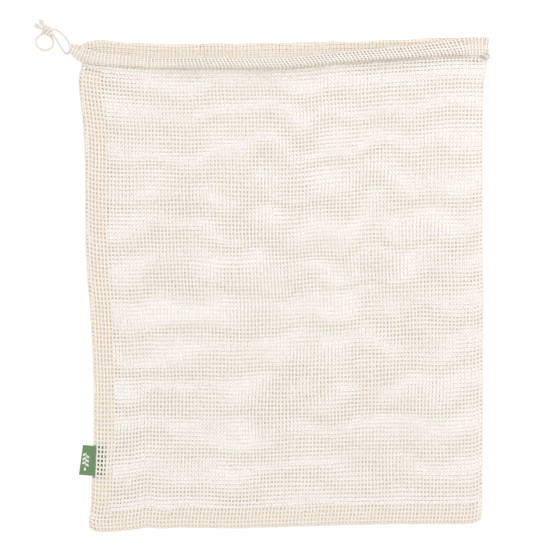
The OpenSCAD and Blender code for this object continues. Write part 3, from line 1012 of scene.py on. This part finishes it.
def label_shape(share, down):
    """How far out a place is, from its share of the way from the root to the outer fold."""
    return -LABEL_ROOT + (LABEL_ROOT + LABEL_OUT + LABEL_SKEW * down / LABEL_W) * share


def make_label():
    """A folded tape: two plies joined by a round fold at the outer end, open inside the seam."""
    ply = LABEL_T / 2
    shares = np.linspace(0, 1, 44)
    fold = np.radians(np.linspace(90, -90, 9)[1:-1])
    profile = [(share, 0, ply) for share in shares]
    profile += [(1, ply * math.cos(a), ply * math.sin(a)) for a in fold]
    profile += [(share, 0, -ply) for share in shares[::-1]]
    profile = np.array(profile)
    downs = np.linspace(0, LABEL_W, 60)
    share, down = np.meshgrid(profile[:, 0], downs, indexing="ij")
    points = label_place(label_shape(share, down) + profile[:, 1][:, None], down)
    points[..., 2] += profile[:, 2][:, None]
    rows, columns = share.shape
    index = np.arange(rows * columns).reshape(rows, columns)
    then = np.roll(index, -1, axis=0)
    quads = np.stack([index[:, :-1], index[:, 1:], then[:, 1:], then[:, :-1]], axis=-1)
    caps = [index[:, 0][None], index[::-1, -1][None]]
    faces = [quads.reshape(-1, 4), *caps]
    label = mesh_object("folded_label", points.reshape(-1, 3), faces, TAPE)
    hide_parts("label_flap", "label_root")
    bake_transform(label)


def leaf(out, down, length, width, lean):
    """One raised leaf of the woven motif, as a pointed oval that starts at (out, down). lean turns
    it, in radians, from straight down."""
    share, across = np.meshgrid(np.linspace(0, 1, 9), np.linspace(-1, 1, 5), indexing="ij")
    along = share * length
    side = across * (width / 2 * np.sin(math.pi * share) ** 0.8)
    out = out + along * math.sin(lean) + side * math.cos(lean)
    down = down + along * math.cos(lean) - side * math.sin(lean)
    top = label_place(out, down)
    top[..., 2] += LABEL_T / 2 + MOTIF_ROUND * (1 - across**2) + MOTIF_UP - MOTIF_ROUND
    base = label_place(out, down)
    base[..., 2] += LABEL_T / 2 - 0.05
    count = share.size
    index = np.arange(count).reshape(share.shape)
    quads = np.stack(
        [index[:-1, :-1], index[:-1, 1:], index[1:, 1:], index[1:, :-1]], axis=-1
    ).reshape(-1, 4)
    rim = np.concatenate([index[0, :-1], index[:-1, -1], index[-1, :0:-1], index[:0:-1, 0]])
    after = np.roll(rim, -1)
    wall = np.stack([rim, rim + count, after + count, after], axis=-1)
    points = np.concatenate([top.reshape(-1, 3), base.reshape(-1, 3)])
    return points, [quads, quads[:, ::-1] + count, wall]


def make_motif():
    """A generic sprig: a stem with three pairs of leaves and one at its tip, woven in white."""
    parts = [leaf(3.6, 4.6, 14.6, 0.6, 0.02)]
    for down in (6.6, 10.0, 13.4):
        parts.append(leaf(3.9, down, 3.4, 1.8, 0.85))
        parts.append(leaf(3.4, down + 1.5, 3.4, 1.8, -0.85))
    parts.append(leaf(3.8, 18.0, 3.2, 1.7, 0.0))
    sprig = mesh_object("label_sprig", *joined(parts), MOTIF)
    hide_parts("label_leaf")
    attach(sprig, "label")


make_label()
make_motif()


# ------------------------------------------------------ floor, light, camera


FLOOR_Z = -0.0004  # just below the lowest yarn


def make_floor():
    """A table that shines white by itself, so that next to no shadow shows on it."""
    bpy.ops.mesh.primitive_plane_add(size=6, location=(0, 0, FLOOR_Z))
    floor = bpy.context.object
    floor.name = "floor"
    material, _, _, bsdf = shader("white_table", roughness=0.9, sheen=0.0)
    bsdf.inputs["Base Color"].default_value = (0.04, 0.04, 0.04, 1)
    bsdf.inputs["Emission Color"].default_value = (1, 1, 1, 1)
    bsdf.inputs["Emission Strength"].default_value = 1.0
    floor.data.materials.append(material)


def area_light(name, place, size, power, colour):
    """A round light that looks at the middle of the scene."""
    data = bpy.data.lights.new(name, "AREA")
    data.shape = "DISK"
    data.size = size
    data.energy = power
    data.color = colour
    light = bpy.data.objects.new(name, data)
    bpy.context.scene.collection.objects.link(light)
    light.location = place
    light.rotation_euler = (-light.location).to_track_quat("-Z", "Y").to_euler()


def make_world(strength):
    """An even white light from all round."""
    world = bpy.data.worlds.new("soft_studio")
    world.use_nodes = True
    background = world.node_tree.nodes["Background"]
    background.inputs["Color"].default_value = (1, 1, 1, 1)
    background.inputs["Strength"].default_value = strength
    bpy.context.scene.world = world


def make_camera():
    """Straight above the bag, far away."""
    data = bpy.data.cameras.new("camera")
    data.lens = LENS
    data.sensor_width = SENSOR
    camera = bpy.data.objects.new("camera", data)
    bpy.context.scene.collection.objects.link(camera)
    camera.location = (VIEW_CENTRE[0] * MM, VIEW_CENTRE[1] * MM, CAMERA_UP * MM)
    bpy.context.scene.camera = camera


make_floor()
make_world(0.945)
area_light("key", place=(0.5, 0.75, 0.8), size=0.8, power=2.9, colour=(0.93, 1.0, 1.12))
make_camera()
bpy.context.scene.cycles.diffuse_bounces = 8
bpy.context.scene.view_settings.view_transform = "Standard"
